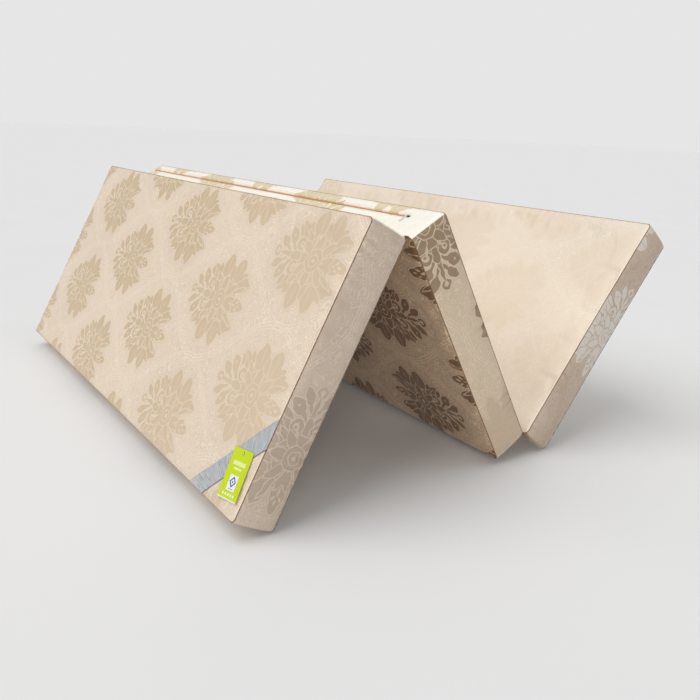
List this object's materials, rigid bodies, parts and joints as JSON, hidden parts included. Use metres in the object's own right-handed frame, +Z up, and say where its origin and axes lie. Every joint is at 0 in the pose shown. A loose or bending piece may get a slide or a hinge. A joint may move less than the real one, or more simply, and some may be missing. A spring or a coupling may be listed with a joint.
{
  "type": "futon mattress",
  "caption": "Folding futon mattress standing half folded: boxed damask panels joined by sewn folds, with end zips, a satin corner ribbon and a card swing tag.",
  "frame": {"origin": "on the floor, under the middle of the half-folded mattress's box", "axes": "+Z up, +Y along the folds, +X from the head panel to the foot panel"},
  "size_m": [1.3219, 1.6, 0.6401],
  "materials": {
    "damask_face": "satin damask weave",
    "damask_band": "satin damask weave",
    "binding": "matt sewn edge",
    "fibre_core": "pressed polyester fibre",
    "wadding": "soft wadding",
    "zip_tape": "woven tape",
    "zip_coil": "nylon coil",
    "zip_metal": "cast and plated",
    "fold_tape": "twill tape",
    "satin_ribbon": "ribbed satin",
    "tag_card": "printed card",
    "sticker": "smooth paper",
    "tag_pin": "clear nylon"
  },
  "bodies": {
    "middle_panel": {"middle_core": "fibre_core", "middle_top_wadding": "wadding", "middle_bottom_wadding": "wadding", "middle_top_cover": "damask_face", "middle_bottom_cover": "damask_face", "middle_near_side_band": "damask_band", "middle_far_side_band": "damask_band", "middle_plain_end_band": "damask_band", "middle_zip_band_upper": "damask_band", "middle_zip_band_lower": "damask_band", "middle_top_binding": "binding", "middle_bottom_binding": "binding", "middle_zip_tapes": "zip_tape", "middle_zip_chain": "zip_coil", "fold_a_seam": "damask_band", "fold_a_middle_tape": "fold_tape", "fold_b_seam": "damask_band", "fold_b_middle_tape": "fold_tape"},
    "head_panel": {"head_core": "fibre_core", "head_top_wadding": "wadding", "head_bottom_wadding": "wadding", "head_top_cover": "damask_face", "head_bottom_cover": "damask_face", "head_near_side_band": "damask_band", "head_far_side_band": "damask_band", "head_plain_end_band": "damask_band", "head_zip_band_upper": "damask_band", "head_zip_band_lower": "damask_band", "head_top_binding": "binding", "head_bottom_binding": "binding", "head_zip_tapes": "zip_tape", "head_zip_chain": "zip_coil", "fold_a_head_tape": "fold_tape", "corner_ribbon": "satin_ribbon", "tag_pin": "tag_pin"},
    "foot_panel": {"foot_core": "fibre_core", "foot_top_wadding": "wadding", "foot_bottom_wadding": "wadding", "foot_top_cover": "damask_face", "foot_bottom_cover": "damask_face", "foot_near_side_band": "damask_band", "foot_far_side_band": "damask_band", "foot_plain_end_band": "damask_band", "foot_zip_band_upper": "damask_band", "foot_zip_band_lower": "damask_band", "foot_top_binding": "binding", "foot_bottom_binding": "binding", "foot_zip_tapes": "zip_tape", "foot_zip_chain": "zip_coil", "fold_b_foot_tape": "fold_tape"},
    "swing_tag": {"swing_tag": "tag_card", "tag_sticker": "sticker"},
    "head_zip_slider": {"head_zip_slider": "zip_metal"},
    "head_zip_pull": {"head_zip_pull": "zip_metal"},
    "middle_zip_slider": {"middle_zip_slider": "zip_metal"},
    "middle_zip_pull": {"middle_zip_pull": "zip_metal"},
    "foot_zip_slider": {"foot_zip_slider": "zip_metal"},
    "foot_zip_pull": {"foot_zip_pull": "zip_metal"}
  },
  "joints": [
    {"name": "fold_a", "type": "hinge", "parent": "middle_panel", "child": "head_panel", "pos_m": [-0.25735, 0, 0.58914], "axis": [0, 1, 0], "range_deg": [-55.4, 122.6]},
    {"name": "fold_b", "type": "hinge", "parent": "middle_panel", "child": "foot_panel", "pos_m": [0.16938, 0, 0.06335], "axis": [0, 1, 0], "range_deg": [-65.4, 112.5]},
    {"name": "head_zip_slide", "type": "slide", "parent": "head_panel", "child": "head_zip_slider", "axis": [0, -1, 0], "range_m": [0, 1.489]},
    {"name": "head_pull_swing", "type": "hinge", "parent": "head_zip_slider", "child": "head_zip_pull", "pos_m": [-0.32024, 0.7095, 0.61993], "axis": [0, 1, 0], "range_deg": [-170, 0]},
    {"name": "middle_zip_slide", "type": "slide", "parent": "middle_panel", "child": "middle_zip_slider", "axis": [0, 1, 0], "range_m": [0, 1.489]},
    {"name": "middle_pull_swing", "type": "hinge", "parent": "middle_zip_slider", "child": "middle_zip_pull", "pos_m": [-0.19569, -0.7095, 0.62232], "axis": [0, -1, 0], "range_deg": [-170, 0]},
    {"name": "foot_zip_slide", "type": "slide", "parent": "foot_panel", "child": "foot_zip_slider", "axis": [0, -1, 0], "range_m": [0, 1.489]},
    {"name": "foot_pull_swing", "type": "hinge", "parent": "foot_zip_slider", "child": "foot_zip_pull", "pos_m": [0.6072, 0.7095, 0.56737], "axis": [0, 1, 0], "range_deg": [-170, 0]},
    {"name": "tag_swing", "type": "hinge", "parent": "head_panel", "child": "swing_tag", "pos_m": [-0.60246, -0.737, 0.16266], "axis": [-0.8862, 0, 0.4633], "range_deg": [-30, 30]}
  ]
}
